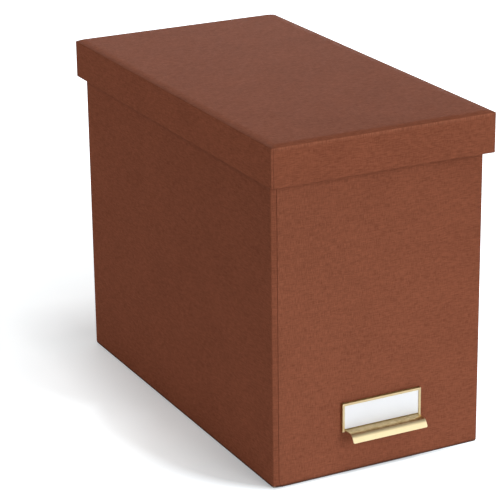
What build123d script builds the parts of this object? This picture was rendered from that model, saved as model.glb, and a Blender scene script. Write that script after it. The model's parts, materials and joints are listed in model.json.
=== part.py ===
from build123d import *
import os

# Desktop file box of paper-covered greyboard with a lift-off lid, in millimetres.
# +Z is up, the label faces -Y, and the origin is on the floor under the middle of the box.

# Box
box_width = 179.0
box_length = 333.0
overall_height = 270.0
board = 2.5
paper = 0.3
corner_radius = 1.0

# Covering papers
seam_turn = 18.0  # start of the wrap, turned on to the front at its left corner
seam_inset = 5.5  # from that corner to the end of the wrap, which overlaps the start
turn_under = 16.0
turn_in = 20.0
base_cover_inset = 1.5

# Lid
skirt_depth = 31.0
lid_side_clearance = 1.4
lid_edge_radius = 2.0
lid_hook_gap = 1.0
lid_tab_gap = 3.1

# Rails over the lowered end walls
rail_sheet = 0.6
rail_leg = 8.0
rail_bend = 1.0
rail_end_gap = 0.3

# Card holder on the front
holder_offset = 2.3  # its middle, right of the middle of the front
frame_width = 68.5
frame_bottom = 34.8
frame_top = 57.8
frame_sheet = 0.6
frame_edge_radius = 0.5
frame_lip = 1.9
frame_foot = 11.0
card_slot = 0.8
card_thickness = 0.4
card_side_gap = 0.4
card_foot_gap = 0.5
card_top_gap = 0.8

# Pull, bent from the back plate of the holder
plate_sheet = 0.9
plate_top_gap = 1.2
pull_side_gap = 0.05
ledge_drop = 1.2  # from the bottom of the frame up to the middle of the sheet at the bend
ledge_rise = 0.9
knee_reach = 14.1
tip_reach = 17.6
tip_drop = 6.3
plate_bend_radius = 1.0
knee_radius = 4.2
tip_corner_radius = 1.2

# Rivets of the holder
rivet_radius = 1.5
rivet_head_radius = 2.6
rivet_head_depth = 0.7
rivet_tail_radius = 2.7
rivet_tail_height = 1.2
rivet_clearance = 0.1
rivet_edge = 6.0  # from a side of the frame to a rivet
washer_radius = 4.5
washer_sheet = 0.8

# Hanging files
folder_count = 6
folder_sheet = 0.4
pocket_gap = 9.0
folder_end_gap = 5.6
folder_floor_gap = 6.6
rod_thickness = 1.0
rod_back = 6.0  # height of a rod above its notch
notch_depth = 6.0
notch_clearance = 0.9
hook_tip = 3.9
hook_radius = 1.5
hang_gap = 0.2
tab_length = 58.0
tab_rise = 9.0
tab_margin = 12.0
tab_window_gap = 0.5
clip_depth = 7.0
insert_thickness = 0.3
insert_gap = 0.05
insert_border = 1.0

# Covered walls
wall = board + 2 * paper
half_width = box_width / 2
half_length = box_length / 2
side_inner = half_width - paper - board
side_lined = half_width - wall
end_inner = half_length - paper - board
end_lined = half_length - wall
front_face = -half_length

# Heights
base_bottom = 2 * paper
base_top = base_bottom + board
floor_top = base_top + paper
wall_top = overall_height - wall
head_room = rail_sheet + hang_gap + rod_back + tab_rise + lid_tab_gap
end_top = wall_top - head_room
rail_top = end_top + rail_sheet
notch_roof = rail_top + hang_gap
rod_top = notch_roof + rod_back
rod_bottom = notch_roof - notch_depth

# Lid
hook_reach = rail_sheet + notch_clearance + hook_tip
lid_half_width = half_width + lid_side_clearance + wall
lid_half_length = half_length + hook_reach + lid_hook_gap + wall
skirt_bottom = overall_height - skirt_depth

# Card holder
frame_half = frame_width / 2
frame_depth = 2 * frame_sheet + plate_sheet + card_slot
pull_half = frame_half - frame_lip - pull_side_gap
plate_middle = frame_sheet + plate_sheet / 2
plate_face = frame_sheet + plate_sheet
ledge_height = frame_bottom + ledge_drop
rivet_height = (frame_bottom + frame_top) / 2
rivet_places = [holder_offset + side * (frame_half - rivet_edge) for side in (-1, 1)]

# Hanging files
panel_outer = pocket_gap / 2 + folder_sheet
rod_outer = panel_outer + rod_thickness
folder_half = rod_outer + folder_sheet
folder_gap = (2 * side_lined - 2 * folder_half * folder_count) / (folder_count + 1)
folder_pitch = 2 * folder_half + folder_gap
folder_reach = end_lined - folder_end_gap
pocket_bottom = floor_top + folder_floor_gap


def block(x, y, z):
    """A box between three pairs of limits."""
    limits = (x, y, z)
    middle = [(low + high) / 2 for low, high in limits]
    size = [high - low for low, high in limits]
    return Pos(*middle) * Box(*size)


def centred(half):
    """The limits at a distance on both sides of the middle."""
    return (-half, half)


def beside(side, near, far):
    """The limits between two distances from the middle, on one side of it."""
    return tuple(sorted((side * near, side * far)))


def out_from_front(near, far):
    """The limits along Y between two distances out from the front face."""
    return (front_face - far, front_face - near)


def rivet_holes():
    """Clearance holes through the front wall for both rivets."""
    depth = 4 * (wall + frame_depth)
    hole = Rot(90, 0, 0) * Cylinder(rivet_radius + rivet_clearance, depth)
    return [Pos(x, front_face, rivet_height) * hole for x in rivet_places]


def wrap_plan(inward, turn):
    """Outline of the body wrap seen from above, moved inward by a distance.

    Within a turn of the left front corner it lies one paper further back, under the seam.
    """
    size = (box_width - 2 * inward, box_length - 2 * inward)
    whole = RectangleRounded(*size, corner_radius - inward)
    back = RectangleRounded(size[0], size[1] - paper, corner_radius - inward)
    corner = Pos(turn / 2 - half_width, turn / 2 - half_length) * Rectangle(turn, turn)
    return whole - corner + (Pos(0, paper / 2) * back & corner)


def inside_wrap(bottom, top):
    """Space for the boards inside the body wrap, between two heights."""
    return Pos(0, 0, bottom) * extrude(wrap_plan(paper, seam_turn), top - bottom)


# Boards of the box


def base_board():
    return inside_wrap(base_bottom, base_top)


def side_board(side):
    upright = (base_top, wall_top - paper)
    return inside_wrap(*upright) & block(
        beside(side, side_inner, half_width), centred(half_length), upright
    )


def end_board(side):
    upright = (base_top, end_top - paper)
    return inside_wrap(*upright) & block(
        centred(side_inner), beside(side, end_inner, half_length), upright
    )


# Papers of the box


def body_wrap():
    """One sheet round all four walls, turned under the base and in over the wall tops."""
    around = wrap_plan(0, seam_inset) - wrap_plan(paper, seam_turn)
    shape = Pos(0, 0, paper) * extrude(around, wall_top - paper)
    shape -= block(centred(side_inner), centred(half_length), (end_top, wall_top))

    under = wrap_plan(paper, seam_turn) - turn_under_hollow()
    shape += Pos(0, 0, paper) * extrude(under, paper)

    for side in (-1, 1):
        shape += wall_strip(side, half_width, wall_top - paper, wall_top)
        shape += wall_strip(side, side_inner, end_top - paper, wall_top - paper)
        shape += block(
            beside(side, side_lined, side_inner), centred(end_lined), (wall_top - turn_in, end_top)
        )
        end_over = beside(side, end_lined, half_length - paper)
        shape += block(centred(side_inner), end_over, (end_top - paper, end_top))
        shape += block(
            centred(side_inner),
            beside(side, end_lined, end_inner),
            (end_top - turn_in, end_top - paper),
        )
    return shape


def wall_strip(side, far, bottom, top):
    """Paper of the wrap along a whole side wall, from its lined face out to a distance."""
    middle = side * (side_lined + far) / 2
    strip = Pos(middle, 0) * Rectangle(far - side_lined, box_length)
    return Pos(0, 0, bottom) * extrude(wrap_plan(0, seam_inset) & strip, top - bottom)


def turn_under_hollow():
    """The part of the base that the wrap's turned edges leave bare."""
    inset = 2 * (paper + turn_under)
    return Rectangle(box_width - inset, box_length - inset)


def base_cover():
    inset = 2 * base_cover_inset
    sheet = RectangleRounded(box_width - inset, box_length - inset, corner_radius)
    return extrude(sheet, paper) + Pos(0, 0, paper) * extrude(turn_under_hollow(), paper)


def side_lining(side):
    return block(
        beside(side, side_lined, side_inner), centred(end_lined), (base_top, wall_top - turn_in)
    )


def end_lining(side):
    return block(
        centred(side_inner), beside(side, end_lined, end_inner), (base_top, end_top - turn_in)
    )


def base_liner():
    return block(centred(side_lined), centred(end_lined), (base_top, floor_top))


# Rails


def rail(side):
    """Steel channel pressed over the top of an end wall."""
    middle = side * (half_length - wall / 2)
    outer = Rectangle(wall + 2 * rail_sheet, rail_leg + rail_sheet)
    outer = fillet(outer.vertices().group_by(Axis.Y)[-1], rail_bend)
    section = Pos(middle, rail_top - (rail_leg + rail_sheet) / 2) * outer
    section -= Pos(middle, end_top - rail_leg / 2) * Rectangle(wall, rail_leg)
    return extrude(Plane.YZ * section, side_lined - rail_end_gap, both=True)


# Card holder


def label_frame():
    """Pressed frame: a lip round the card, side walls, and feet behind the back plate."""
    upright = (frame_bottom, frame_top)
    through = (frame_bottom - frame_depth, frame_top + frame_depth)
    lip = frame_depth - frame_sheet
    shape = block(centred(frame_half), out_from_front(0, frame_depth), upright)
    shape = fillet(shape.faces().sort_by(Axis.Y)[0].edges(), frame_edge_radius)
    shape -= block(
        centred(frame_half - frame_sheet), out_from_front(frame_sheet, lip), through
    )
    shape -= block(
        centred(frame_half - frame_lip),
        out_from_front(lip - frame_sheet, 2 * frame_depth),
        (through[0], frame_top - frame_lip),
    )
    shape -= block(
        centred(frame_half - frame_foot), out_from_front(-frame_sheet, frame_sheet), through
    )
    return Pos(holder_offset, 0, 0) * shape - rivet_holes()


def pull_plate():
    """Back plate behind the card, bent out into a ledge and down into a finger pull."""
    path = FilletPolyline(
        (front_face - plate_middle, frame_top - plate_top_gap),
        (front_face - plate_middle, ledge_height),
        (front_face - knee_reach, ledge_height + ledge_rise),
        (front_face - tip_reach, ledge_height + ledge_rise - tip_drop),
        radius=[plate_bend_radius, knee_radius],
    )
    section = make_face(offset(path, plate_sheet / 2, side=Side.BOTH))
    shape = extrude(Plane.YZ * section, pull_half, both=True)
    bottom = shape.bounding_box().min.Z
    front_view = Pos(0, (bottom + frame_top) / 2) * Rectangle(2 * pull_half, frame_top - bottom)
    front_view = fillet(front_view.vertices().group_by(Axis.Y)[0], tip_corner_radius)
    shape &= Pos(0, front_face, 0) * extrude(Plane.XZ * front_view, 2 * tip_reach, both=True)
    return Pos(holder_offset, 0, 0) * shape - rivet_holes() - rivet_pair(rivet_clearance)


def rivet_pair(allowance):
    """Both countersunk rivets, grown by an allowance."""
    grip = wall + washer_sheet
    shank = rivet_radius + allowance
    head = plate_face
    outline = Polyline(
        (0, head),
        (rivet_head_radius + allowance, head),
        (shank, head - rivet_head_depth - allowance),
        (shank, -grip),
        (rivet_tail_radius, -grip),
        (rivet_radius, -grip - rivet_tail_height),
        (0, -grip - rivet_tail_height),
        close=True,
    )
    rivet = Rot(90, 0, 0) * revolve(Plane.XZ * make_face(outline), Axis.Z)
    return [Pos(x, front_face, rivet_height) * rivet for x in rivet_places]


def rivet_washers():
    ring = Circle(washer_radius) - Circle(rivet_radius + rivet_clearance)
    washer = Rot(90, 0, 0) * extrude(ring, washer_sheet)
    inside = washer_sheet - end_lined
    return [Pos(x, inside, rivet_height) * washer for x in rivet_places]


def label_card():
    half = frame_half - frame_sheet - card_side_gap
    back = plate_face + (card_slot - card_thickness) / 2
    foot = ledge_height + plate_sheet / 2 + card_foot_gap
    shape = block(
        centred(half), out_from_front(back, back + card_thickness), (foot, frame_top - card_top_gap)
    )
    return Pos(holder_offset, 0, 0) * shape


# Lid


def lid_block(inward, bottom):
    """Solid of the closed lid's outside, moved inward by a distance and cut off at a height."""
    height = overall_height - inward - bottom
    plan = RectangleRounded(
        2 * (lid_half_width - inward), 2 * (lid_half_length - inward), corner_radius - inward
    )
    shape = Pos(0, 0, bottom) * extrude(plan, height)
    return fillet(shape.faces().sort_by(Axis.Z)[-1].edges(), lid_edge_radius - inward)


def lid_hollow(inward, bottom, top):
    """Space inside the lid, at a distance from its outside, between two heights."""
    return block(centred(lid_half_width - inward), centred(lid_half_length - inward), (bottom, top))


def lid_top_board():
    return lid_block(paper, wall_top + paper)


def lid_side_board(side):
    ring = lid_block(paper, skirt_bottom + paper)
    return ring & block(
        beside(side, lid_half_width - paper - board, lid_half_width),
        centred(lid_half_length),
        (skirt_bottom, wall_top + paper),
    )


def lid_end_board(side):
    return block(
        centred(lid_half_width - paper - board),
        beside(side, lid_half_length - paper - board, lid_half_length - paper),
        (skirt_bottom + paper, wall_top + paper),
    )


def lid_wrap():
    """Covering paper of the lid, turned round the skirt's edge and up its inside."""
    lining_top = wall_top + paper
    boards = lid_block(paper, skirt_bottom + paper)
    boards -= lid_hollow(paper + board, skirt_bottom, lining_top)
    shape = lid_block(0, skirt_bottom) - boards
    return shape - lid_hollow(wall, skirt_bottom - paper, lining_top)


def lid_lining():
    return lid_hollow(wall, wall_top, wall_top + paper)


# Hanging files


def folder_section():
    """One pocket sheet seen along its length: a U whose edges are folded round the rods."""
    foot = pocket_bottom + panel_outer

    def u_shape(half):
        upright = Pos(0, (foot + rod_top) / 2) * Rectangle(2 * half, rod_top - foot)
        return upright + Pos(0, foot) * Circle(half)

    section = u_shape(panel_outer) - u_shape(pocket_gap / 2)
    for side in (-1, 1):
        middle = Pos(side * (panel_outer + rod_outer) / 2, (rod_top + rod_bottom) / 2)
        hole = Rectangle(rod_thickness, rod_top - rod_bottom)
        sleeve = Rectangle(
            rod_thickness + 2 * folder_sheet, rod_top - rod_bottom + 2 * folder_sheet
        )
        section += middle * (sleeve - hole)
    return section


def folder_pocket(x, tab_middle):
    shape = extrude(Plane.XZ * folder_section(), folder_reach, both=True)
    window = tab_length / 2 + tab_window_gap
    shape -= block(
        beside(-1, pocket_gap / 2, folder_half),
        (tab_middle - window, tab_middle + window),
        (rod_top - clip_depth, rod_top + 2 * folder_sheet),
    )
    return Pos(x, 0, 0) * shape


def folder_rods(x):
    """Two flat rods whose notched ends hook over the rails."""
    reach = half_length + hook_reach
    outline = Pos(0, (rod_top + rod_bottom) / 2) * Rectangle(2 * reach, rod_top - rod_bottom)
    low = end_lined - rail_sheet - notch_clearance
    high = reach - hook_tip
    for side in (-1, 1):
        notch = Rectangle(high - low, 2 * notch_depth)
        outline -= Pos(side * (low + high) / 2, notch_roof - notch_depth) * notch
    ends = outline.vertices().group_by(Axis.X)
    outline = fillet(ends[0] + ends[-1], hook_radius)
    rod = extrude(Plane.YZ * outline, rod_thickness / 2, both=True)
    middle = (panel_outer + rod_outer) / 2
    return [Pos(x + side * middle, 0, 0) * rod for side in (-1, 1)]


def folder_tab(x, tab_middle):
    """Clear index tab, clipped over the rod in the window of the pocket's sleeve."""
    length = (tab_middle - tab_length / 2, tab_middle + tab_length / 2)
    thickness = beside(-1, pocket_gap / 2, folder_half)
    bottom = rod_top - clip_depth + tab_window_gap
    shape = block(thickness, length, (bottom, rod_top + tab_rise))
    shape -= block(beside(-1, panel_outer, rod_outer), length, (bottom, rod_top))
    return Pos(x, 0, 0) * (shape - insert_space(tab_middle, insert_gap))


def insert_space(tab_middle, allowance):
    """The paper insert of a tab, grown by an allowance."""
    middle = (panel_outer + rod_outer) / 2
    half = insert_thickness / 2 + allowance
    reach = tab_length / 2 - insert_border + allowance
    return block(
        beside(-1, middle - half, middle + half),
        (tab_middle - reach, tab_middle + reach),
        (rod_top + insert_border - allowance, rod_top + tab_rise - insert_border + allowance),
    )


def tab_insert(x, tab_middle):
    return Pos(x, 0, 0) * insert_space(tab_middle, 0)


parts = {
    "base_board": base_board(),
    "left_board": side_board(-1),
    "right_board": side_board(1),
    "front_board": end_board(-1) - rivet_holes(),
    "rear_board": end_board(1),
    "body_wrap": body_wrap() - rivet_holes(),
    "base_cover": base_cover(),
    "left_lining": side_lining(-1),
    "right_lining": side_lining(1),
    "front_lining": end_lining(-1) - rivet_holes(),
    "rear_lining": end_lining(1),
    "base_liner": base_liner(),
    "front_rail": rail(-1),
    "rear_rail": rail(1),
    "label_frame": label_frame(),
    "pull_plate": pull_plate(),
    "holder_rivets": Compound(rivet_pair(0)),
    "rivet_washers": Compound(rivet_washers()),
    "label_card": label_card(),
    "lid_top_board": lid_top_board(),
    "lid_left_board": lid_side_board(-1),
    "lid_right_board": lid_side_board(1),
    "lid_front_board": lid_end_board(-1),
    "lid_rear_board": lid_end_board(1),
    "lid_wrap": lid_wrap(),
    "lid_lining": lid_lining(),
}

tab_step = 2 * (folder_reach - tab_margin - tab_length / 2) / (folder_count - 1)
for index in range(folder_count):
    step = index - (folder_count - 1) / 2
    place = step * folder_pitch
    tab_place = step * tab_step
    name = f"folder_{index + 1}"
    parts[f"{name}_pocket"] = folder_pocket(place, tab_place)
    parts[f"{name}_rods"] = Compound(folder_rods(place))
    parts[f"{name}_tab"] = folder_tab(place, tab_place)
    parts[f"{name}_insert"] = tab_insert(place, tab_place)

os.makedirs("parts", exist_ok=True)
for node, solid in parts.items():
    export_step(solid, f"parts/{node}.step")
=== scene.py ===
"""Visual model of a paper-covered file box: lift-off lid, brass card holder and hanging files.

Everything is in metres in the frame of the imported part: +Z is up and the card holder faces -Y.
"""

from __future__ import annotations

import json
import logging
import math
from collections.abc import Callable, Iterable, Sequence
from dataclasses import dataclass, field
from enum import Enum

import bmesh
import bpy
from bmesh.types import BMFace, BMVert
from bpy.types import Material, Node, NodeSocket as Socket, Object, World
from mathutils import Matrix, Vector

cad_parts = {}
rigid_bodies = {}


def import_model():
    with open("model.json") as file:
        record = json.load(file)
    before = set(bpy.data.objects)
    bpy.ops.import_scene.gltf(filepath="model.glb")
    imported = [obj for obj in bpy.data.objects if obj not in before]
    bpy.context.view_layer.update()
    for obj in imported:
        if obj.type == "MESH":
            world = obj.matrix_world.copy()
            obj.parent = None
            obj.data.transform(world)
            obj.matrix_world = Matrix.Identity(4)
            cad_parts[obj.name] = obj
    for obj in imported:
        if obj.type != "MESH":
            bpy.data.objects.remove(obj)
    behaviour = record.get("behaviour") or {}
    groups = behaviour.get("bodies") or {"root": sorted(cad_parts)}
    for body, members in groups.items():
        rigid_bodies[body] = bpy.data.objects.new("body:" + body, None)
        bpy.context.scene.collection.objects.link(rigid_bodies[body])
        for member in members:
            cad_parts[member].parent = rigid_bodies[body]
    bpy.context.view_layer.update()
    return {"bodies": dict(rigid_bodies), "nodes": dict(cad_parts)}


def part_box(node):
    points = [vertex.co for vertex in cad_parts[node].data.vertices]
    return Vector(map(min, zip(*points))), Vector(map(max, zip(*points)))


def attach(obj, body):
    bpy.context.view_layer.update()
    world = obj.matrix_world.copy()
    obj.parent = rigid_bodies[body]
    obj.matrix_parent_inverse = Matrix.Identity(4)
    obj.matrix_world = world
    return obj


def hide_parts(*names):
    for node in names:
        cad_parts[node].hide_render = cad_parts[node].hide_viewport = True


LOG = logging.getLogger("file_box")
MM = 0.001
NEAR = 1e-6
WHITE = (1.0, 1.0, 1.0)

# Vertex layer of a place: above 0 rubbing and painted highlights on paper, polish on metal;
# below 0 painted shade on paper, tarnish with painted shade on metal.
EDGE_LAYER = "edge"

# Largest part of the normal: below the first a face turns a corner, above the second it faces
# an axis.
TURNED = 0.96
FACING = 0.7

# Angles in radians: of an edge that can be rounded, and of an edge that stays sharp.
CREASE = 0.3
SHARP = math.radians(35.0)

# What every rounding shares.
BEVEL = {"offset_type": "OFFSET", "profile": 0.5, "clamp_overlap": True, "material": -1}

Band = tuple[float, float]
Colour = tuple[float, float, float]
Point = tuple[float, float, float]
Feed = Socket | float | Colour | Vector
Feeds = dict[int | str, Feed]
FaceTest = Callable[[Vector], bool]
EdgeTest = Callable[[Vector, Vector], bool]
Wear = Callable[[Vector, bool], float]


class Axis(Enum):
    """Direction that a cut is taken along."""

    X = 0
    Y = 1
    Z = 2


class Slot(Enum):
    """Material slots of the part's record."""

    LINEN = "linen_paper"
    BASE = "base_paper"
    LINING = "lining_paper"
    BOARD = "greyboard"
    BRASS = "brass"
    RAIL = "rail_steel"
    ROD = "rod_steel"
    FILE = "folder_card"
    CARD = "card"
    CLEAR = "clear_plastic"


# Finishes


class Graph:
    """Node tree of a material or of the world."""

    def __init__(self, owner: Material | World, shader: str = "Principled BSDF") -> None:
        """Starts on a new node tree.

        Args:
            owner: What the tree belongs to.
            shader: Name of its shader node.
        """
        owner.use_nodes = True
        self.nodes = owner.node_tree.nodes
        self.links = owner.node_tree.links
        self.surface: Node = self.nodes[shader]

    def add(self, kind: str, feeds: Feeds | None = None, **settings: object) -> Node:
        """Adds a node.

        Args:
            kind: Blender's name of the node type.
            feeds: What its inputs get, by number or name.
            settings: Its properties.

        Returns:
            The node.
        """
        node = self.nodes.new(kind)
        for key, value in settings.items():
            setattr(node, key, value)
        self.feed(node, feeds or {})
        return node

    def feed(self, node: Node, feeds: Feeds) -> None:
        """Links or sets inputs of a node.

        Args:
            node: The node.
            feeds: What they get, by number or name.
        """
        for key, value in feeds.items():
            socket = node.inputs[key]
            if isinstance(value, Socket):
                self.links.new(value, socket)
            elif isinstance(value, tuple) and len(socket.default_value) == 4:
                socket.default_value = (*value, 1.0)
            else:
                socket.default_value = value

    def set(self, **values: Feed) -> None:
        """Feeds the shader's inputs, named in lower case with underscores."""
        titles = (key.replace("_", " ").title().replace("Ior", "IOR") for key in values)
        self.feed(self.surface, dict(zip(titles, values.values())))

    def math(self, operation: str, first: Feed, second: Feed = 0.0, clamp: bool = False) -> Socket:
        """Takes two values together, clamped from 0 to 1 or not."""
        settings = {"operation": operation, "use_clamp": clamp}
        return self.add("ShaderNodeMath", {0: first, 1: second}, **settings).outputs[0]

    def remap(
        self, value: Feed, low: float, high: float, to_low: float = 0.0, to_high: float = 1.0
    ) -> Socket:
        """Maps a range of a value on to another one."""
        feeds = dict(enumerate((value, low, high, to_low, to_high)))
        return self.add("ShaderNodeMapRange", feeds).outputs[0]

    def mix(self, share: Feed, first: Feed, second: Feed) -> Socket:
        """Mixes two colours, in the node's sockets for these, by a share of the second."""
        feeds = {0: share, 6: first, 7: second}
        return self.add("ShaderNodeMix", feeds, data_type="RGBA").outputs[2]

    def choose(self, share: Feed, first: Feed, second: Feed) -> Socket:
        """Mixes two numbers by a share of the second."""
        return self.add("ShaderNodeMix", {0: share, 2: first, 3: second}).outputs[0]

    def join(self, *parts: Feed) -> Socket:
        """Joins three values to a vector."""
        return self.add("ShaderNodeCombineXYZ", dict(enumerate(parts))).outputs[0]

    def split(self, vector: Socket) -> tuple[Socket, Socket, Socket]:
        """Splits a vector into its three parts."""
        return tuple(self.add("ShaderNodeSeparateXYZ", {0: vector}).outputs)

    def place(self) -> Socket:
        """Gives the object coordinates of the surface, in metres."""
        return self.add("ShaderNodeTexCoord").outputs["Object"]

    def face_plane(self) -> tuple[Socket, Socket]:
        """Finds two distances along the surface, whichever axis it faces.

        Returns:
            The distance across and the distance along, in metres.
        """
        coordinates = self.add("ShaderNodeTexCoord").outputs
        x, y, z = self.split(coordinates["Object"])
        to_side, _, to_top = (
            self.math("GREATER_THAN", self.math("ABSOLUTE", part), FACING)
            for part in self.split(coordinates["Normal"])
        )
        return self.choose(to_side, x, y), self.choose(to_top, z, y)

    def noise(self, at: Socket, scale: float, detail: float = 2.0, rough: float = 0.5) -> Socket:
        """Gives a noise about 0.5, with its scale in cells per metre."""
        feeds = {"Vector": at, "Scale": scale, "Detail": detail, "Roughness": rough}
        return self.add("ShaderNodeTexNoise", feeds).outputs["Fac"]

    def streaks(
        self, across: Feed, along: Feed, width: float, length: float, seed: float
    ) -> Socket:
        """Gives a noise drawn out in one direction, as threads and fibres are."""
        cell = self.math("DIVIDE", across, width), self.math("DIVIDE", along, length)
        return self.noise(self.join(*cell, seed), scale=1.0, detail=1.0)

    def bump(self, height: Feed, distance: float, strength: float) -> None:
        """Roughens the surface.

        Args:
            height: Height from 0 to 1.
            distance: What a height of 1 is, in metres.
            strength: Strength of the effect.
        """
        feeds = {"Strength": strength, "Distance": distance, "Height": height}
        before = self.surface.inputs["Normal"].links
        if before:
            feeds["Normal"] = before[0].from_socket
        self.set(normal=self.add("ShaderNodeBump", feeds).outputs["Normal"])

    def wear_and_painted_light(self) -> Socket:
        """Gives the vertex layer: rubbing and polish, painted highlights and painted shade."""
        return self.add("ShaderNodeAttribute", attribute_name=EDGE_LAYER).outputs["Fac"]

    def seen_directly(self) -> Socket:
        """Tells camera, mirror and glass rays from those that carry light.

        Returns:
            1 for the rays that show the surroundings.
        """
        path = self.add("ShaderNodeLightPath").outputs
        seen = self.math("MAXIMUM", path["Is Camera Ray"], path["Is Glossy Ray"])
        return self.math("MAXIMUM", seen, path["Is Transmission Ray"])


@dataclass(frozen=True)
class Finish:
    """Look of a material."""

    name: str

    def material(self) -> Material:
        """Gives the material, and makes it at the first call.

        Returns:
            The material.
        """
        material = bpy.data.materials.get(self.name)
        if material is None:
            material = bpy.data.materials.new(self.name)
            self.paint(Graph(material))
        return material

    def paint(self, graph: Graph) -> None:
        """Paints the material, which each finish does in its own way."""
        raise NotImplementedError


@dataclass(frozen=True)
class LinenPaper(Finish):
    """Linen-weave covering paper, paler along folds from rubbing and painted highlights, darker
    with painted shade.
    """

    dark: Colour
    light: Colour
    # Paler colour for rubbing and painted highlights; darker colour for painted shade.
    worn_and_painted_light: Colour
    painted_shade: Colour
    thread: float = 0.6 * MM
    slub: float = 5.0 * MM
    weft_share: float = 0.6
    cloud_share: float = 0.35
    tone_band: Band = (0.85, 1.5)
    warp_band: Band = (0.35, 0.7)
    rub_and_highlight_share: Band = (0.08, 0.5)
    thread_band: Band = (0.7, 1.3)
    rough: Band = (0.86, 0.7)
    shine: float = 0.03
    weave_share: float = 0.2
    relief: float = 0.09 * MM
    ripple: float = 0.5 * MM

    def paint(self, graph: Graph) -> None:
        """Paints threads, clouds, rubbing and painted highlights along folds, and painted shade.

        Args:
            graph: Its node tree.
        """
        across, along = graph.face_plane()
        warp = graph.streaks(across, along, self.thread, self.slub, seed=0.0)
        weft = graph.streaks(along, across, self.thread, self.slub, seed=7.3)
        threads = graph.math("MULTIPLY", graph.choose(self.weft_share, warp, weft), 2.0)
        cloud = graph.noise(graph.place(), scale=28.0, detail=3.0)
        tone = graph.math("ADD", threads, graph.math("MULTIPLY", cloud, self.cloud_share))
        cloth = graph.mix(graph.remap(tone, *self.tone_band), self.dark, self.light)
        # Layer above 0: paler, for rubbing and painted highlights; below 0: painted shade.
        wear_and_painted_light = graph.wear_and_painted_light()
        share = graph.remap(warp, *self.warp_band, *self.rub_and_highlight_share)
        rubbed_and_highlit = graph.mix(graph.math("MULTIPLY", wear_and_painted_light, share), cloth, self.worn_and_painted_light)
        painted_shade_share = graph.math("MULTIPLY", wear_and_painted_light, -1.0, clamp=True)
        graph.set(
            base_color=graph.mix(painted_shade_share, rubbed_and_highlit, self.painted_shade),
            roughness=graph.remap(threads, *self.thread_band, *self.rough),
            specular_ior_level=self.shine,
        )
        turns = [graph.math("MULTIPLY", way, math.pi / self.thread) for way in (across, along)]
        waves = [graph.math("SINE", turn) for turn in turns]
        weave = graph.math("MULTIPLY", graph.math("MULTIPLY", *waves), self.weave_share)
        graph.bump(graph.math("ADD", threads, weave), self.relief, strength=0.8)
        swell = graph.noise(graph.place(), scale=9.0, detail=1.0)
        graph.bump(swell, self.ripple, strength=0.25)


@dataclass(frozen=True)
class PulpPaper(Finish):
    """Plain paper or board, with fibres and a cloudy look-through."""

    dark: Colour
    light: Colour
    fibre: float = 0.25 * MM
    length: float = 2.5 * MM
    crossing_width: float = 1.3
    crossing_length: float = 0.6
    middle: float = 0.75
    contrast: float = 0.5
    relief: float = 0.04 * MM
    cloud_band: Band = (0.3, 0.7)
    rough: float = 0.8
    rough_spread: float = 0.08
    shine: float = 0.25

    def paint(self, graph: Graph) -> None:
        """Paints fibres and clouds.

        Args:
            graph: Its node tree.
        """
        across, along = graph.face_plane()
        fibres = graph.streaks(across, along, self.fibre, self.length, seed=1.7)
        size = self.crossing_width * self.fibre, self.crossing_length * self.length
        crossing = graph.streaks(along, across, *size, seed=4.1)
        cloud = graph.noise(graph.place(), scale=90.0, detail=4.0, rough=0.6)
        tone = graph.math("ADD", graph.math("MULTIPLY", fibres, crossing), cloud)
        band = (self.middle - self.contrast / 2, self.middle + self.contrast / 2)
        rough = (self.rough + self.rough_spread, self.rough - self.rough_spread)
        graph.set(
            base_color=graph.mix(graph.remap(tone, *band), self.dark, self.light),
            roughness=graph.remap(cloud, *self.cloud_band, *rough),
            specular_ior_level=self.shine,
        )
        graph.bump(graph.math("ADD", fibres, crossing), self.relief, strength=0.5)


@dataclass(frozen=True)
class Metal(Finish):
    """Sheet metal with a fine rolling grain and a light tarnish."""

    clean: Colour
    dull: Colour
    rough: float = 0.34
    grain: float = 0.12 * MM
    length: float = 14.0 * MM
    relief: float = 0.004 * MM
    tarnish_band: Band = (0.4, 0.75)
    tarnish_share: float = 0.5
    grain_band: Band = (0.3, 0.7)
    grain_share: float = 0.2
    polish: float = 0.4
    rough_band: Band = (0.7, 1.3)
    rough_spread: Band = (-0.04, 0.07)

    def paint(self, graph: Graph) -> None:
        """Paints grain and tarnish, with polish on the edges and tarnish with painted shade.

        Args:
            graph: Its node tree.
        """
        across, along = graph.face_plane()
        grain = graph.streaks(along, across, self.grain, self.length, seed=2.9)
        tarnish = graph.noise(graph.place(), scale=260.0, detail=4.0, rough=0.6)
        tone = graph.math(
            "ADD",
            graph.remap(tarnish, *self.tarnish_band, 0.0, self.tarnish_share),
            graph.remap(grain, *self.grain_band, self.grain_share, 0.0),
        )
        # Layer above 0: polish; below 0: tarnish with painted shade.
        polish_and_painted_shade = graph.math("MULTIPLY", graph.wear_and_painted_light(), self.polish)
        tone = graph.math("SUBTRACT", tone, polish_and_painted_shade, clamp=True)
        rough = (self.rough + spread for spread in self.rough_spread)
        graph.set(
            base_color=graph.mix(tone, self.clean, self.dull),
            metallic=1.0,
            roughness=graph.remap(graph.math("ADD", grain, tarnish), *self.rough_band, *rough),
        )
        graph.bump(grain, self.relief, strength=0.4)


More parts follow.
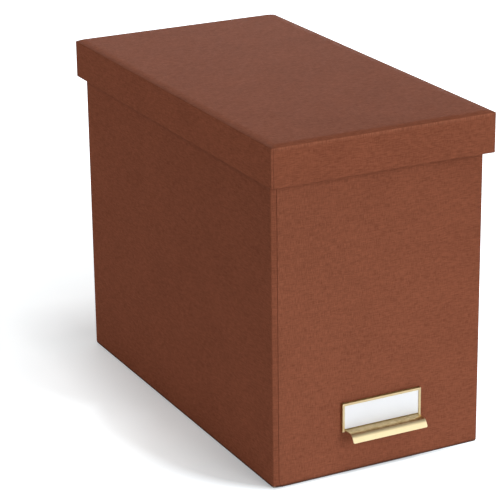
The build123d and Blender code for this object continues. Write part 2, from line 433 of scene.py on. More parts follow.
@dataclass(frozen=True)
class ClearPlastic(Finish):
    """Clear moulded plastic with faint flow marks and fine scratches."""

    tint: Colour
    flow_tint: Colour = (0.97, 0.98, 0.98)
    flow_band: Band = (0.35, 0.65)
    cover: float = 0.16
    shine: float = 1.0
    scratch: float = 0.15 * MM
    length: float = 9.0 * MM
    scratch_band: Band = (0.45, 0.8)
    rough: Band = (0.06, 0.2)
    relief: float = 0.02 * MM

    def paint(self, graph: Graph) -> None:
        """Paints scratches and flow marks on a mostly clear sheet.

        Args:
            graph: Its node tree.
        """
        across, along = graph.face_plane()
        scratches = graph.streaks(along, across, self.scratch, self.length, seed=5.5)
        flow = graph.noise(graph.place(), scale=120.0)
        graph.set(
            base_color=graph.mix(graph.remap(flow, *self.flow_band), self.tint, self.flow_tint),
            roughness=graph.remap(scratches, *self.scratch_band, *self.rough),
            specular_ior_level=self.shine,
            alpha=self.cover,
        )
        graph.bump(flow, self.relief, strength=0.3)


FINISHES: dict[Slot, Finish] = {
    Slot.LINEN: LinenPaper(
        "rust_linen_paper",
        dark=(0.188, 0.0585, 0.031),
        light=(0.273, 0.0885, 0.0475),
        # Paler for rubbing and painted highlights; darker for painted shade.
        worn_and_painted_light=(0.34, 0.125, 0.072),
        painted_shade=(0.05, 0.025, 0.018),
    ),
    Slot.BASE: PulpPaper("black_base_paper", (0.022, 0.02, 0.019), (0.04, 0.036, 0.033)),
    Slot.LINING: PulpPaper(
        "lining_paper", (0.52, 0.48, 0.4), (0.64, 0.6, 0.52), fibre=0.4 * MM, length=5.0 * MM
    ),
    Slot.BOARD: PulpPaper(
        "greyboard", (0.25, 0.22, 0.18), (0.38, 0.34, 0.28), fibre=0.5 * MM, relief=0.08 * MM
    ),
    Slot.BRASS: Metal("satin_brass", (0.9, 0.75, 0.45), (0.5, 0.36, 0.16)),
    Slot.RAIL: Metal("zinc_rail", (0.66, 0.67, 0.68), (0.46, 0.47, 0.48)),
    Slot.ROD: Metal("zinc_rod", (0.6, 0.61, 0.62), (0.4, 0.41, 0.42), rough=0.36),
    Slot.FILE: PulpPaper(
        "buff_file_card", (0.45, 0.3, 0.16), (0.56, 0.39, 0.22), contrast=0.6, length=4.0 * MM
    ),
    Slot.CARD: PulpPaper(
        "white_card", (0.92, 0.945, 0.985), (0.94, 0.965, 0.995), contrast=1.0, rough=0.6, shine=0.3
    ),
    Slot.CLEAR: ClearPlastic("clear_tab_plastic", (0.9, 0.93, 0.94)),
}


# Mesh tools


class Shape:
    """Mesh of a piece while it is built."""

    def __init__(self, points: Iterable[Point], closed: bool = True) -> None:
        """Starts with a face, or with the path of a bent sheet.

        Args:
            points: Its corners in turn.
            closed: Whether it is a face.
        """
        self.bm = bmesh.new()
        corners = [self.bm.verts.new(point) for point in points]
        if closed:
            self.bm.faces.new(corners)
            return
        for ends in zip(corners, corners[1:]):
            self.bm.edges.new(ends)

    def face_out(self) -> None:
        """Turns all faces outwards."""
        bmesh.ops.recalc_face_normals(self.bm, faces=self.bm.faces)
        self.bm.normal_update()

    def move(self, offset: Vector, verts: Sequence[BMVert] = ()) -> None:
        """Moves some vertices, or else all."""
        bmesh.ops.translate(self.bm, vec=offset, verts=verts or self.bm.verts[:])

    def sweep(self, offset: Vector) -> None:
        """Draws a path out to a sheet."""
        made = bmesh.ops.extrude_edge_only(self.bm, edges=self.bm.edges[:])["geom"]
        self.move(offset, [item for item in made if isinstance(item, BMVert)])

    def thicken(self, thickness: float) -> None:
        """Gives a sheet its thickness."""
        self.face_out()
        bmesh.ops.solidify(self.bm, geom=self.bm.faces[:], thickness=thickness)

    def cut(self, axis: Axis, *places: float) -> None:
        """Cuts along planes and keeps both sides.

        Args:
            axis: Direction that the planes face.
            places: Their places along it.
        """
        bm = self.bm
        normal = Vector()
        normal[axis.value] = 1.0
        for place in places:
            plane = {"plane_co": normal * place, "plane_no": normal}
            bmesh.ops.bisect_plane(bm, geom=[*bm.verts, *bm.edges, *bm.faces], dist=NEAR, **plane)

    def faces_where(self, test: FaceTest) -> list[BMFace]:
        """Finds the faces whose middle passes a test."""
        return [face for face in self.bm.faces if test(face.calc_center_median())]

    def drop(self, test: FaceTest) -> None:
        """Deletes the faces whose middle passes a test."""
        bmesh.ops.delete(self.bm, geom=self.faces_where(test), context="FACES")

    def push(self, offset: Point, test: FaceTest = lambda at: True) -> list[BMVert]:
        """Extrudes the faces whose middle passes a test, and leaves no face inside.

        Args:
            offset: How far they move.
            test: The test.

        Returns:
            The moved vertices.
        """
        faces = self.faces_where(test)
        region = set(faces)
        edges = [edge for edge in self.bm.edges if region.intersection(edge.link_faces)]
        made = bmesh.ops.extrude_face_region(self.bm, geom=[*faces, *edges])["geom"]
        verts = [item for item in made if isinstance(item, BMVert)]
        self.move(Vector(offset), verts)
        self.face_out()
        return verts

    def round(
        self, radius: float, test: EdgeTest, segments: int = 3, crease: float = CREASE
    ) -> None:
        """Rounds the creased edges whose ends pass a test.

        Args:
            radius: Width of the bevel on each side.
            test: Test of the two ends.
            segments: Faces across the bevel.
            crease: Least angle between the faces of an edge.
        """
        self.bm.normal_update()
        edges = [
            edge
            for edge in self.bm.edges
            if edge.calc_face_angle(0.0) > crease and test(*(vert.co for vert in edge.verts))
        ]
        size = {"offset": radius, "segments": segments}
        bmesh.ops.bevel(self.bm, geom=edges, affect="EDGES", **size, **BEVEL)

    def bend(self, verts: Sequence[BMVert], setback: float, segments: int) -> None:
        """Rounds corners of a path, from that distance on."""
        size = {"offset": setback, "segments": segments}
        bmesh.ops.bevel(self.bm, geom=verts, affect="VERTICES", **size, **BEVEL)

    def finish(
        self,
        name: str,
        body: str,
        slot: Slot,
        replaces: Sequence[str],
        wear_and_painted_light: Wear = lambda place, turned: float(turned),
    ) -> None:
        """Makes a piece of the mesh, dresses it and sets it on its body.

        Args:
            name: Name of the piece.
            body: Body that it rides on.
            slot: Material slot of the record.
            replaces: CAD nodes that it stands for.
            wear_and_painted_light: Gives the layer's value at a place, which turns a corner or not.
        """
        bm = self.bm
        bmesh.ops.remove_doubles(bm, verts=bm.verts, dist=NEAR)
        self.face_out()
        layer = bm.verts.layers.float.new(EDGE_LAYER)
        for vert in bm.verts:
            turned = any(max(map(abs, face.normal)) < TURNED for face in vert.link_faces)
            vert[layer] = wear_and_painted_light(vert.co, turned)
        mesh = bpy.data.meshes.new(name)
        bm.to_mesh(mesh)
        bm.free()
        mesh.shade_smooth()
        mesh.set_sharp_from_angle(angle=SHARP)
        mesh.materials.append(FINISHES[slot].material())
        piece = bpy.data.objects.new(name, mesh)
        bpy.context.scene.collection.objects.link(piece)
        normals = piece.modifiers.new("even_faces", "WEIGHTED_NORMAL")
        normals.keep_sharp = True
        normals.weight = 100
        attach(piece, body)
        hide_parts(*replaces)
        LOG.info("%s: %d faces on %s", name, len(mesh.polygons), body)


# The box and its lid


@dataclass
class Cover(Shape):
    """Covering paper round the walls of the box or the lid."""

    node: str
    wall: float = 3.1 * MM
    paper: float = 0.3 * MM
    low: Vector = field(init=False)
    high: Vector = field(init=False)
    inner: Vector = field(init=False)

    def __post_init__(self) -> None:
        """Measures the walls and lays out their plan."""
        self.low, self.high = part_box(self.node)
        self.inner = self.high - Vector((self.wall, self.wall, 0.0))
        (left, front, foot), (right, rear, _) = self.low, self.high
        corners = ((left, front), (right, front), (right, rear), (left, rear))
        super().__init__((x, y, foot) for x, y in corners)
        self.cut_round(self.wall)

    def cut_round(self, inset: float) -> None:
        """Cuts along all four walls, at that distance from the outside."""
        self.cut(Axis.X, inset - self.high.x, self.high.x - inset)
        self.cut(Axis.Y, inset - self.high.y, self.high.y - inset)

    def sides_at(self, place: Vector) -> int:
        """Counts the outsides of the walls that a place is on, two at a corner."""
        return sum(abs(abs(place[i]) - self.high[i]) < NEAR for i in (0, 1))

    def upright(self, a: Vector, b: Vector) -> bool:
        """Tells whether an edge is an outer corner of the walls."""
        return self.sides_at(a) == 2 and abs(a.z - b.z) > NEAR


@dataclass
class BoxCover(Cover):
    """Covering paper of the box: one sheet, lapped at a seam on the front."""

    node: str = "body_wrap"
    corner: float = 0.8 * MM
    rim: float = 0.7 * MM
    foot: float = 1.4 * MM
    turn_in: float = 20.0 * MM
    lining_share: float = 0.8
    support: float = 2.5 * MM
    seam_inset: float = 4.9 * MM
    lip_share: float = 0.1
    groove_width: float = 0.7 * MM
    groove_depth: float = 0.45 * MM
    strip_roll: float = 0.3 * MM
    mitre_height: float = 4.3 * MM
    mitre_slope: float = 0.6
    dent_width: float = 4.0 * MM
    dent_height: float = 1.4 * MM
    # Paper marks: a paler seam, corner rubbing with painted highlights, painted shade at the foot
    # and on the left side, and a painted shadow line below the lid's hem.
    seam_wear: float = 0.6
    corner_wear_and_highlight: float = 0.2
    foot_painted_shade: float = -1.0
    left_painted_shade: float = -0.1
    hem_painted_shadow: float = -0.15
    hem_shadow_drop: float = 1.8 * MM
    hem_shadow_below: float = 4.5 * MM
    hem_shadow_above: float = 2.5 * MM
    end_top: float = field(init=False)
    # Height of the painted shadow line below the lid's hem.
    painted_band: float = field(init=False)

    def __post_init__(self) -> None:
        """Measures also the end walls and where the painted shadow line below the lid's hem lies.
        """
        super().__post_init__()
        self.end_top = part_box("front_board")[1].z + self.paper
        self.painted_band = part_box("lid_wrap")[0].z - self.hem_shadow_drop

    def build(self) -> None:
        """Builds the cover."""
        self.raise_walls()
        self.tuck_linings()
        self.soften()
        self.lap_seam()
        self.dent_corners()
        # Rings that let the painted shadow line below the lid's hem fade.
        self.cut(Axis.Z, self.painted_band - self.hem_shadow_below, self.painted_band, self.painted_band + self.hem_shadow_above)
        self.finish("box_cover", "box", Slot.LINEN, ["body_wrap"], self.wear_and_painted_light)

    def wear_and_painted_light(self, place: Vector, turned: bool) -> float:
        """Gives rubbing with painted highlights at corners, a paler seam, and painted shade at the
        foot, on the left side and below the lid's hem.

        Args:
            place: The place.
            turned: Whether it turns a corner.

        Returns:
            The layer's value.
        """
        low, high = self.low, self.high
        # Painted shade along the foot.
        if place.z < low.z + self.foot + NEAR:
            return self.foot_painted_shade
        off_seam = abs(place.x - low.x - self.seam_inset)
        # Corners: rubbing with a painted highlight; seam: paler paper.
        worn_and_painted_light = self.corner_wear_and_highlight * (turned and place.z > self.support)
        if place.y < low.y + NEAR and off_seam < self.groove_width / 2:
            worn_and_painted_light = self.seam_wear
        # Left side: painted shade, growing upwards and towards the front.
        if place.x < low.x + NEAR:
            raised = min(1.0, (place.z - low.z) / (self.painted_band - low.z))
            worn_and_painted_light = self.left_painted_shade * raised * (high.y - place.y) / (high.y - low.y)
        # A painted shadow line below the lid's hem.
        return worn_and_painted_light + self.hem_painted_shadow if abs(place.z - self.painted_band) < NEAR else worn_and_painted_light

    def raise_walls(self) -> None:
        """Raises the four covered walls, with the end walls lower than the sides."""
        inner, top = self.inner, self.end_top
        self.drop(lambda at: abs(at.x) < inner.x and abs(at.y) < inner.y)
        self.push((0, 0, top - self.low.z))
        self.push(
            (0, 0, self.high.z - top), lambda at: abs(at.x) > inner.x and abs(at.z - top) < NEAR
        )

    def tuck_linings(self) -> None:
        """Sets the inside back below the turned-in edge, where the linings lie."""
        self.cut(Axis.Z, self.end_top - self.turn_in, self.high.z - self.turn_in)
        verts = self.push((0, 0, 0), self.is_lined)
        back = self.lining_share * self.paper
        grown = (1.0 + back / self.inner.x, 1.0 + back / self.inner.y, 1.0)
        bmesh.ops.scale(self.bm, vec=grown, verts=verts)

    def is_lined(self, at: Vector) -> bool:
        """Tells whether a face is inside the box and below the turned-in edge.

        Args:
            at: Middle of the face.

        Returns:
            Whether a lining covers it.
        """
        inner = self.inner
        on_side = abs(abs(at.x) - inner.x) < NEAR and abs(at.y) < inner.y
        on_end = abs(abs(at.y) - inner.y) < NEAR and abs(at.x) < inner.x
        height = at.z + self.turn_in
        return (on_side and height < self.high.z) or (on_end and height < self.end_top)

    def at_foot(self, a: Vector, b: Vector) -> bool:
        """Tells whether an edge is on the outside of the foot."""
        low_down = max(a.z, b.z) < self.low.z + NEAR
        return low_down and self.sides_at(a) > 0 and self.sides_at(b) > 0

    def on_end(self, a: Vector, b: Vector) -> bool:
        """Tells whether an edge runs along the top of an end wall."""
        level = abs(a.z - self.end_top) + abs(b.z - self.end_top) + abs(a.y - b.y) < NEAR
        return level and max(abs(a.x), abs(b.x)) < self.inner.x + NEAR

    def soften(self) -> None:
        """Rounds the folds of the paper over the boards."""
        low, high = self.low, self.high
        self.round(self.corner, self.upright)
        self.round(self.foot, self.at_foot)
        self.round(self.rim, lambda a, b: min(a.z, b.z) > high.z - NEAR)
        self.round(self.rim, self.on_end)
        self.cut_round(self.support)
        self.cut(Axis.Z, low.z + self.support, high.z - self.support)

    def lap_seam(self) -> None:
        """Lays the strip left of the seam under the sheet's end, with a groove between."""
        low = self.low
        seam = low.x + self.seam_inset
        lip = seam - self.lip_share * self.groove_width
        far = seam - self.groove_width
        self.cut(Axis.X, seam, lip, far)
        self.cut(Axis.Z, self.mitre_height)
        for vert in self.bm.verts:
            if vert.co.y > low.y + self.foot + NEAR or vert.co.x > seam + NEAR:
                continue
            mitre = self.mitre_slope * max(0.0, self.mitre_height - vert.co.z)
            if vert.co.x > lip + NEAR:
                vert.co.x += mitre
                continue
            in_groove = vert.co.x > far + NEAR
            roll = self.strip_roll * ((far - vert.co.x) / (far - low.x)) ** 2
            vert.co.y += self.groove_depth if in_groove else self.paper + roll
            if vert.co.x > far - NEAR:
                vert.co.x += mitre

    def dent_corners(self) -> None:
        """Dents the four bottom corners, as setting the box down does."""
        edge = self.high - Vector((self.foot, self.foot, 0.0))
        for vert in self.bm.verts:
            insets = (max(0.0, edge.x - abs(vert.co.x)), max(0.0, edge.y - abs(vert.co.y)))
            share = max(0.0, 1.0 - math.hypot(*insets) / self.dent_width)
            fade = max(0.0, 1.0 - (vert.co.z - self.low.z) / self.support)
            vert.co.z += self.dent_height * fade * share**2


@dataclass
class LidCover(Cover):
    """Covering paper of the lid, its end flaps lapped near the corners."""

    node: str = "lid_wrap"
    corner: float = 0.6 * MM
    crown: float = 0.55 * MM
    hem: float = 0.7 * MM
    # Depth of the painted highlight band below the top edge.
    painted_band: float = 2.4 * MM
    ceiling_share: float = 0.3
    roll_width: float = 8.0 * MM
    roll_drop: float = 0.8 * MM
    roll_power: float = 1.4
    roll_steps: int = 6
    support: float = 4.0 * MM
    seam_inset: float = 1.9 * MM
    lip_share: float = 0.15
    groove_width: float = 0.5 * MM
    groove_depth: float = 0.3 * MM
    slack_width: float = 60.0 * MM
    slack_drop: float = 1.0 * MM
    # Paper marks: a painted highlight below the top edge, corner and hem rubbing with painted
    # highlights, and painted shade over the top, more at the front and the left edge.
    crown_painted_highlight: float = 2.4
    corner_wear_and_highlight: float = 1.2
    hem_wear_and_highlight: float = 0.25
    top_painted_shade: float = -0.09
    left_painted_shade: float = -0.28
    left_fade: float = 5.5 * MM

    def build(self) -> None:
        """Builds the cover."""
        low, high = self.low, self.high
        self.push((0, 0, high.z - low.z))
        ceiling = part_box("lid_lining")[1].z - self.ceiling_share * self.paper
        self.push((0, 0, ceiling - low.z), lambda at: at.xy.length < NEAR and at.z < low.z + NEAR)
        self.soften()
        hidden = ["lid_wrap", "lid_top_board"]
        self.finish("lid_cover", "lid", Slot.LINEN, hidden, self.wear_and_painted_light)

    def wear_and_painted_light(self, place: Vector, turned: bool) -> float:
        """Gives rubbing and painted highlights at the edges, and painted shade over the top.

        Args:
            place: The place.
            turned: Whether it turns a corner.

        Returns:
            The layer's value.
        """
        low, high = self.low, self.high
        below_top = high.z - self.roll_drop - place.z
        inset = place.x - low.x
        # Painted highlight below the top edge, fading downwards, but not on the left side.
        if self.crown / 2 < below_top < self.painted_band and inset > self.corner:
            return self.crown_painted_highlight * (1.0 - below_top / self.painted_band)
        # Painted shade over the top, more towards the front, and more at the left edge.
        if below_top < self.crown:
            turn = 1.0 - max(0.0, below_top) / self.crown
            painted_shade = self.top_painted_shade * (high.y - place.y) / (high.y - low.y)
            return turn * (painted_shade + self.left_painted_shade * max(0.0, 1.0 - inset / self.left_fade))
        # Corners and hem: rubbing with a painted highlight.
        return turned * (self.hem_wear_and_highlight if self.at_hem(place) else self.corner_wear_and_highlight)

    def at_hem(self, place: Vector) -> bool:
        """Tells whether a place is on the hem."""
        return place.z < self.low.z + self.hem + NEAR

    def soften(self) -> None:
        """Rounds the folds of the paper over the boards."""
        low, high = self.low, self.high
        self.round(self.corner, self.upright, segments=4)
        self.roll_top()
        edge = high.z - self.roll_drop
        self.round(self.crown, lambda a, b: min(a.z, b.z) > edge - NEAR, segments=5)
        self.round(self.hem, lambda a, b: max(a.z, b.z) < low.z + NEAR)
        self.cut_round(self.support)
        # The last ring lies halfway down the painted highlight band.
        self.cut(Axis.Z, low.z + self.support, high.z - self.support, edge - self.painted_band / 2)
        seam = high.x - self.seam_inset
        for at in (seam, seam - self.lip_share * self.groove_width, seam + self.groove_width):
            self.cut(Axis.X, -at, at)
        self.lap_flaps()
        self.slacken()

    def roll_top(self) -> None:
        """Lets the top slope down towards its edges."""
        high = self.high
        for step in range(1, self.roll_steps + 1):
            self.cut_round(self.roll_width * step / self.roll_steps)
        for vert in self.bm.verts:
            if vert.co.z > high.z - NEAR:
                inset = min(high.x - abs(vert.co.x), high.y + vert.co.y)
                share = max(0.0, 1.0 - inset / self.roll_width)
                vert.co.z -= self.roll_drop * share**self.roll_power

    def lap_flaps(self) -> None:
        """Sinks a groove into both ends, where the flaps are lapped."""
        seam = self.high.x - self.seam_inset
        for vert in self.bm.verts:
            at_end = abs(vert.co.y) > self.high.y - NEAR and vert.co.z < self.high.z - self.crown
            if at_end and abs(abs(vert.co.x) - seam) < NEAR:
                vert.co.y -= math.copysign(self.groove_depth, vert.co.y)

    def slacken(self) -> None:
        """Lets the hem hang lower towards the right front corner."""
        right, front = self.high.x, self.low.y
        self.cut(Axis.X, right - self.slack_width)
        self.cut(Axis.Y, front + self.slack_width)
        for vert in self.bm.verts:
            if self.at_hem(vert.co):
                away = max(right - vert.co.x, vert.co.y - front)
                vert.co.z -= self.slack_drop * max(0.0, 1.0 - away / self.slack_width)


# Card holder


@dataclass
class CardHolder:
    """Pressed brass frame, the back plate bent out into a finger pull, and the bare card."""

    lip: float = 1.9 * MM
    sheet: float = 0.6 * MM
    foot: float = 11.0 * MM
    plate: float = 0.86 * MM
    edge: float = 0.28 * MM
    ledge_height: float = 36.35 * MM
    ledge_rise: float = 0.9 * MM
    knee_reach: float = 12.4 * MM
    tip_reach: float = 16.4 * MM
    tip_drop: float = 6.6 * MM
    bend: float = 1.0 * MM
    bend_steps: int = 8
    knee: float = 7.0 * MM
    knee_steps: int = 14
    tip_corner: float = 1.2 * MM
    tip_share: float = 1.2
    tip_length: float = 1.5
    rim_crease: float = 1.2
    card_corner: float = 0.5 * MM
    # Tarnish with painted shade: on the frame behind its front face, and on the plate and ledge
    # behind the pull's knee.
    tarnish: float = -1.5
    ledge_tarnish_and_shade: float = -1.3

    def build(self) -> None:
        """Builds the frame, the pull and the card."""
        self.frame()
        self.pull()
        self.card()

    def tarnished_and_shaded(self, start: float, tarnish: float) -> Wear:
        """Gives polish on turned edges, and tarnish with painted shade behind a place."""
        return lambda place, turned: tarnish if place.y > start else float(turned)

    def frame(self) -> None:
        """Builds the frame: two folded sides, joined by the lip on top."""
        low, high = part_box("label_frame")
        middle = (low.x + high.x) / 2
        side, front, back = low.x, low.y, high.y
        section = (
            (side, back),
            (side, front),
            (side + self.lip, front),
            (side + self.lip, front + self.sheet),
            (side + self.sheet, front + self.sheet),
            (side + self.sheet, back - self.sheet),
            (side + self.foot, back - self.sheet),
            (side + self.foot, back),
        )
        shape = Shape((x, y, low.z) for x, y in section)
        bm = shape.bm
        shape.push((0, 0, high.z - low.z))
        shape.cut(Axis.Z, high.z - self.lip)
        mirror = Matrix.Scale(-1, 4, (1, 0, 0))
        mirror.translation.x = 2 * middle
        twin = bmesh.ops.duplicate(bm, geom=[*bm.verts, *bm.edges, *bm.faces])["geom"]
        bmesh.ops.transform(bm, matrix=mirror, verts=[v for v in twin if isinstance(v, BMVert)])
        shape.face_out()
        for inset in (self.lip, self.foot):
            reach = high.x - inset - middle
            ends = shape.faces_where(
                lambda at: abs(abs(at.x - middle) - reach) < NEAR and at.z > high.z - self.lip
            )
            rings = [edge for face in ends for edge in face.edges]
            bmesh.ops.delete(bm, geom=ends, context="FACES_ONLY")
            bmesh.ops.bridge_loops(bm, edges=rings)
        shape.face_out()
        shape.round(self.edge, lambda a, b: max(a.y, b.y) < front + NEAR)
        # Tarnish with painted shade behind the front face; polish on the front's edges.
        wear_and_painted_light = self.tarnished_and_shaded(front + self.edge / 2, self.tarnish)
        shape.finish("card_frame", "box", Slot.BRASS, ["label_frame"], wear_and_painted_light)

    def pull(self) -> None:
        """Builds the back plate with its ledge and finger pull from one bent strip."""
        low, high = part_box("pull_plate")
        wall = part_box("label_frame")[1].y
        plate_y = high.y - self.plate / 2
        knee_y, knee_z = wall - self.knee_reach, self.ledge_height + self.ledge_rise
        path = (
            (plate_y, high.z),
            (plate_y, self.ledge_height),
            (knee_y, knee_z),
            (wall - self.tip_reach, knee_z - self.tip_drop),
        )
        shape = Shape(((low.x, y, z) for y, z in path), closed=False)
        _, ledge, knee, _ = shape.bm.verts
        self.bend_strip(shape, ledge, self.bend, self.bend_steps)
        self.bend_strip(shape, knee, self.knee, self.knee_steps)
        shape.sweep(Vector((high.x - low.x, 0, 0)))
        shape.thicken(self.plate)
        shape.move(Vector((0, high.y - max(v.co.y for v in shape.bm.verts), 0)))
        shape.face_out()
        tip = min(v.co.z for v in shape.bm.verts) + self.tip_share * self.plate

        def at_tip(a: Vector, b: Vector) -> bool:
            """Tells whether an edge is a corner of the pull's tip."""
            is_short = (a - b).length < self.tip_length * self.plate
            return is_short and max(a.z, b.z) < tip and abs(a.x - b.x) < NEAR

        shape.round(self.tip_corner, at_tip, segments=5)
        shape.round(self.edge, lambda a, b: True, segments=2, crease=self.rim_crease)
        # Tarnish with painted shade on the plate and ledge behind the knee; polish on the edges.
        wear_and_painted_light = self.tarnished_and_shaded(knee_y, self.ledge_tarnish_and_shade)
        shape.finish("finger_pull", "box", Slot.BRASS, ["pull_plate"], wear_and_painted_light)

    def bend_strip(self, shape: Shape, vert: BMVert, radius: float, segments: int) -> None:
        """Rounds a corner of the strip's path by a radius."""
        first, second = (edge.other_vert(vert).co - vert.co for edge in vert.link_edges)
        shape.bend([vert], radius / math.tan(first.angle(second) / 2), segments)

    def card(self) -> None:
        """Builds the bare card with its rounded corners."""
        low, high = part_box("label_card")
        corners = ((low.x, low.z), (high.x, low.z), (high.x, high.z), (low.x, high.z))
        shape = Shape((x, high.y, z) for x, z in corners)
        thick = high.y - low.y
        shape.push((0, -thick, 0))
        shape.round(self.card_corner, lambda a, b: abs(a.y - b.y) > thick / 2)
        shape.finish("bare_card", "card", Slot.CARD, ["label_card"])


# Hanging files


@dataclass
class HangingFile:
    """One hanging file: its pocket sheet hangs in a fold from two hooked rods."""

    number: int
    sheet: float = 0.4 * MM
    rod: float = 1.0 * MM
    clip_depth: float = 7.0 * MM
    hem_drop: float = 9.0 * MM
    hem_share: float = 0.8
    fold_share: float = 0.35
    fold_steps: int = 3
    foot_steps: int = 7
    window_gap: float = 0.5 * MM

    def build(self) -> None:
        """Builds the pocket sheet, with a window for the index tab."""
        name = f"folder_{self.number}"
        low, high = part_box(f"{name}_pocket")
        rod_low, rod_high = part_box(f"{name}_rods")
        tab_low, tab_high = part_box(f"{name}_tab")
        middle = (low.x + high.x) / 2
        panel = (high.x - low.x) / 2 - self.rod - 1.5 * self.sheet
        hem = panel + self.rod + self.sheet
        top = high.z - self.sheet / 2
        clip = rod_high.z - self.clip_depth
        half = (
            (panel + self.hem_share * self.sheet, rod_low.z - self.hem_drop),
            (hem, rod_low.z - self.sheet / 2),
            (hem, clip),
            (hem, top),
            (panel, top),
            (panel, clip),
            (panel, low.z + self.sheet / 2),
        )
        path = [(-x, z) for x, z in half] + [(x, z) for x, z in reversed(half)]
        shape = Shape(((middle + x, low.y, z) for x, z in path), closed=False)
        foot = [v for v in shape.bm.verts if v.co.z < low.z + self.sheet]
        fold = [v for v in shape.bm.verts if v.co.z > top - NEAR]
        shape.bend(foot, panel, self.foot_steps)
        shape.bend(fold, self.fold_share * self.rod, self.fold_steps)
        shape.sweep(Vector((0, high.y - low.y, 0)))
        start, end = tab_low.y - self.window_gap, tab_high.y + self.window_gap
        shape.cut(Axis.Y, start, end)
        shape.drop(lambda at: at.x < middle and at.z > clip and start < at.y < end)
        shape.thicken(self.sheet)
        across = [v.co.x for v in shape.bm.verts]
        shape.move(Vector((middle - (max(across) + min(across)) / 2, 0, 0)))
        shape.finish(f"{name}_sheet", name, Slot.FILE, [f"{name}_pocket"])


# Pieces kept from the part

# Slots by the end of a node's name.
SLOT_ENDINGS = {
    Slot.BOARD: ("_board",),
    Slot.LINING: ("_lining", "_liner"),
    Slot.BASE: ("base_cover",),
    Slot.LINEN: ("_wrap",),
    Slot.RAIL: ("_rail", "_washers"),
    Slot.ROD: ("_rods",),
    Slot.FILE: ("_pocket",),
    Slot.CARD: ("_insert", "_card"),
    Slot.CLEAR: ("_tab",),
}


@dataclass
class KeptParts:
    """CAD nodes whose shape is right, which get their finish here."""

    nodes: dict[str, Object]

    def slot_of(self, name: str) -> Slot:
        """Finds the slot of a node by its name, or else brass."""
        matches = (slot for slot, ends in SLOT_ENDINGS.items() if name.endswith(ends))
        return next(matches, Slot.BRASS)

    def dress(self) -> None:
        """Gives every node its material."""
        for name, node in self.nodes.items():
            slot = self.slot_of(name)
            node.data.materials.clear()
            node.data.materials.append(FINISHES[slot].material())


# Studio


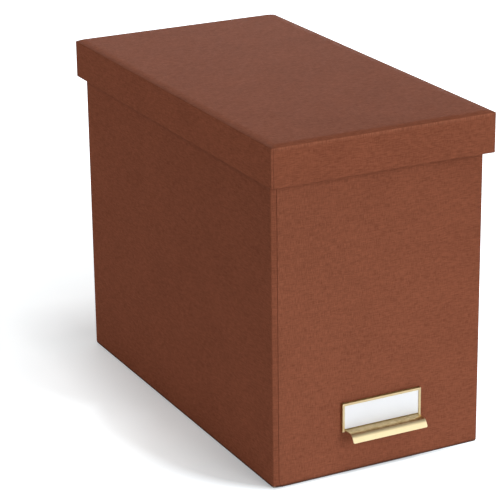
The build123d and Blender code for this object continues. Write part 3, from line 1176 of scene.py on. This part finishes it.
@dataclass(frozen=True)
class PaleFloor(Finish):
    """Pale floor that shows white to the camera and keeps the object's shadow."""

    name: str = "pale_floor"
    grey: float = 0.88
    grain: float = 0.01
    grain_band: Band = (0.3, 0.7)
    tint: Colour = (0.92, 1.0, 1.05)
    lift: float = 0.27
    mirror_lift: float = 0.1
    reach: Band = (0.1, 0.45)
    depth: float = 0.6
    front_band: Band = (-0.171, -0.1655)
    right_band: Band = (0.0, 0.085)
    dim: float = 0.23
    dim_band: Band = (-0.15, 0.0)
    foot_shade: float = 0.66
    foot_band: Band = (-0.165, -0.04)
    shadow_bearing: float = 66.0
    shadow_blur: float = 16.0 * MM
    shadow_spread: float = 0.42
    shadow_length: float = 0.17
    shadow_turn: float = 1.24
    shadow_bulge: float = 22.0 * MM
    glow: float = 0.5
    glow_depth: Band = (-0.5, -0.4)
    glow_left: Band = (-0.1, -0.06)

    def paint(self, graph: Graph) -> None:
        """Paints the floor, shaded beside the foot and glowing before the box.

        Args:
            graph: Its node tree.
        """
        camera = graph.add("ShaderNodeLightPath").outputs["Is Camera Ray"]
        x, y, _ = graph.split(graph.place())
        grain = graph.noise(graph.place(), scale=40.0, detail=3.0)
        spread = (self.grey - self.grain, self.grey + self.grain)
        grey = graph.remap(grain, *self.grain_band, *spread)
        shade = graph.remap(y, *self.foot_band, self.foot_shade, 1.0)
        grey = graph.math("MULTIPLY", grey, graph.choose(camera, 1.0, shade))
        glow = graph.remap(y, *self.front_band, self.glow, 0.0)
        for place, band in ((y, self.glow_depth), (x, self.glow_left)):
            glow = graph.math("MULTIPLY", glow, graph.remap(place, *band))
        thrown = graph.choose(graph.seen_directly(), glow, self.mirror_lift)
        graph.set(
            base_color=graph.join(grey, grey, grey),
            roughness=1.0,
            specular_ior_level=0.0,
            emission_color=self.tint,
            emission_strength=graph.choose(camera, thrown, self.seen(graph, x, y)),
        )

    def seen(self, graph: Graph, x: Socket, y: Socket) -> Socket:
        """Gives how much the floor is lifted to white for the camera.

        Args:
            graph: Its node tree.
            x: Place to the right.
            y: Place to the rear.

        Returns:
            The strength of its light.
        """
        stretched = graph.join(x, graph.math("MULTIPLY", y, self.depth), 0.0)
        length = graph.add("ShaderNodeVectorMath", {0: stretched}, operation="LENGTH")
        lift = graph.remap(length.outputs["Value"], *self.reach, self.lift, 1.0)
        lift = graph.math("ADD", lift, graph.remap(y, *self.dim_band, -self.dim, 0.0))
        before = graph.remap(y, *self.front_band, 1.0, self.lift)
        right = graph.remap(x, *self.right_band)
        for lit in (before, right, self.beside_shadow(graph)):
            lift = graph.math("MAXIMUM", lift, lit)
        return lift

    def beside_shadow(self, graph: Graph) -> Socket:
        """Lights the floor left of the shadow's bent edge.

        Args:
            graph: Its node tree.

        Returns:
            1 outside the shadow, 0 in it.
        """
        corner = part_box("body_wrap")[0]
        turn = math.radians(self.shadow_bearing)
        away = Vector((-math.sin(turn), -math.cos(turn), 0.0))
        along = Vector((-math.cos(turn), math.sin(turn), 0.0))
        beyond, run = (self.measure(graph, way, corner) for way in (away, along))
        end = self.shadow_turn * self.shadow_length
        share = graph.remap(run, 0.0, end, 0.0, self.shadow_turn)
        hump = graph.math("MULTIPLY", share, graph.math("SUBTRACT", 1.0, share))
        hump = graph.math("MULTIPLY", hump, 4 * self.shadow_bulge)
        beyond = graph.math("SUBTRACT", beyond, hump)
        spread = graph.math("MULTIPLY", graph.math("MAXIMUM", run, 0.0), self.shadow_spread)
        width = graph.math("ADD", spread, self.shadow_blur)
        return graph.math("ADD", graph.math("DIVIDE", beyond, width), 0.5, clamp=True)

    def measure(self, graph: Graph, way: Vector, start: Vector) -> Socket:
        """Measures how far the floor is from a point in one direction."""
        dot = graph.add("ShaderNodeVectorMath", {0: graph.place(), 1: way}, operation="DOT_PRODUCT")
        return graph.math("SUBTRACT", dot.outputs["Value"], start.xy.dot(way.xy))


@dataclass(frozen=True)
class Softbox:
    """A large lamp aimed at a point."""

    name: str
    place: Point
    aim: Point
    width: float
    height: float
    power: float
    colour: Colour = WHITE
    mirrored: bool = False

    def build(self) -> None:
        """Sets up the lamp."""
        light = bpy.data.lights.new(self.name, "AREA")
        light.shape = "RECTANGLE"
        light.size = self.width
        light.size_y = self.height
        light.energy = self.power
        light.color = self.colour
        lamp = bpy.data.objects.new(self.name, light)
        lamp.location = self.place
        aim = Vector(self.aim) - Vector(self.place)
        lamp.rotation_euler = aim.to_track_quat("-Z", "Y").to_euler()
        lamp.visible_camera = False
        lamp.visible_glossy = self.mirrored
        bpy.context.scene.collection.objects.link(lamp)


# Each has a place, an aim, a width, a height and a power.
LAMPS = (
    Softbox("overhead", (0.16, -0.5, 3.3), (0.16, -0.4, 0.0), 0.69, 0.9, 28.0),
    Softbox("front", (0.95, -3.35, 1.35), (0, 0, 0.13), 1.4, 2.5, 61.5),
    Softbox("left", (-2.8, 1.1, 1.9), (0, 0, 0.13), 1.6, 1.2, 19.4, colour=(1.0, 0.81, 0.64)),
    Softbox("rear", (2.2, 4.4, 0.62), (0, 0, 0.27), 2.7, 0.3, 88.0, mirrored=True),
)


@dataclass
class Studio:
    """White surroundings, floor, soft lamps and the camera."""

    floor_size: float = 12.0
    camera_place: Point = (-0.78225, -1.49864, 0.72719)
    azimuth: float = -26.89
    elevation: float = 19.68
    roll: float = -0.74
    lens: float = 159.65
    sensor: float = 36.0
    ambient: float = 0.26
    sky: float = 1.3
    ceiling: float = 0.05
    ceiling_band: Band = (0.64, 0.9)

    def build(self) -> None:
        """Builds the floor, the light and the camera."""
        bpy.context.scene.view_settings.view_transform = "Standard"
        self.floor()
        self.surroundings()
        for softbox in LAMPS:
            softbox.build()
        self.camera()

    def floor(self) -> None:
        """Lays the floor."""
        bm = bmesh.new()
        bmesh.ops.create_grid(bm, x_segments=1, y_segments=1, size=self.floor_size / 2)
        mesh = bpy.data.meshes.new("floor")
        bm.to_mesh(mesh)
        bm.free()
        mesh.materials.append(PaleFloor().material())
        floor = bpy.data.objects.new("floor", mesh)
        bpy.context.scene.collection.objects.link(floor)

    def surroundings(self) -> None:
        """Makes the world white to the camera, with a darker ceiling."""
        world = bpy.data.worlds.new("white_studio")
        bpy.context.scene.world = world
        graph = Graph(world, "Background")
        _, _, height = graph.split(graph.add("ShaderNodeTexCoord").outputs["Generated"])
        shown = graph.remap(height, *self.ceiling_band, self.sky, self.ceiling)
        strength = graph.choose(graph.seen_directly(), self.ambient, shown)
        graph.set(color=WHITE, strength=strength)

    def camera(self) -> None:
        """Sets up the camera."""
        around, above, turn = map(math.radians, (self.azimuth, self.elevation, self.roll))
        level = math.cos(above)
        back = Vector((math.sin(around) * level, -math.cos(around) * level, math.sin(above)))
        right = Vector((0, 0, 1)).cross(back).normalized()
        axes = Matrix((right, back.cross(right), back)).transposed()
        data = bpy.data.cameras.new("camera")
        data.sensor_fit = "HORIZONTAL"
        data.sensor_width = self.sensor
        data.lens = self.lens
        camera = bpy.data.objects.new("camera", data)
        turned = (axes @ Matrix.Rotation(turn, 3, "Z")).to_4x4()
        camera.matrix_world = Matrix.Translation(self.camera_place) @ turned
        bpy.context.scene.collection.objects.link(camera)
        bpy.context.scene.camera = camera


def main() -> None:
    """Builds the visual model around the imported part."""
    logging.basicConfig(level=logging.INFO)
    for item in list(bpy.data.objects):
        bpy.data.objects.remove(item)
    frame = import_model()
    KeptParts(frame["nodes"]).dress()
    BoxCover().build()
    LidCover().build()
    CardHolder().build()
    files = [body for body in frame["bodies"] if body.startswith("folder_")]
    for number in sorted(int(body.split("_")[1]) for body in files):
        HangingFile(number).build()
    Studio().build()


if __name__ == "__main__":
    main()
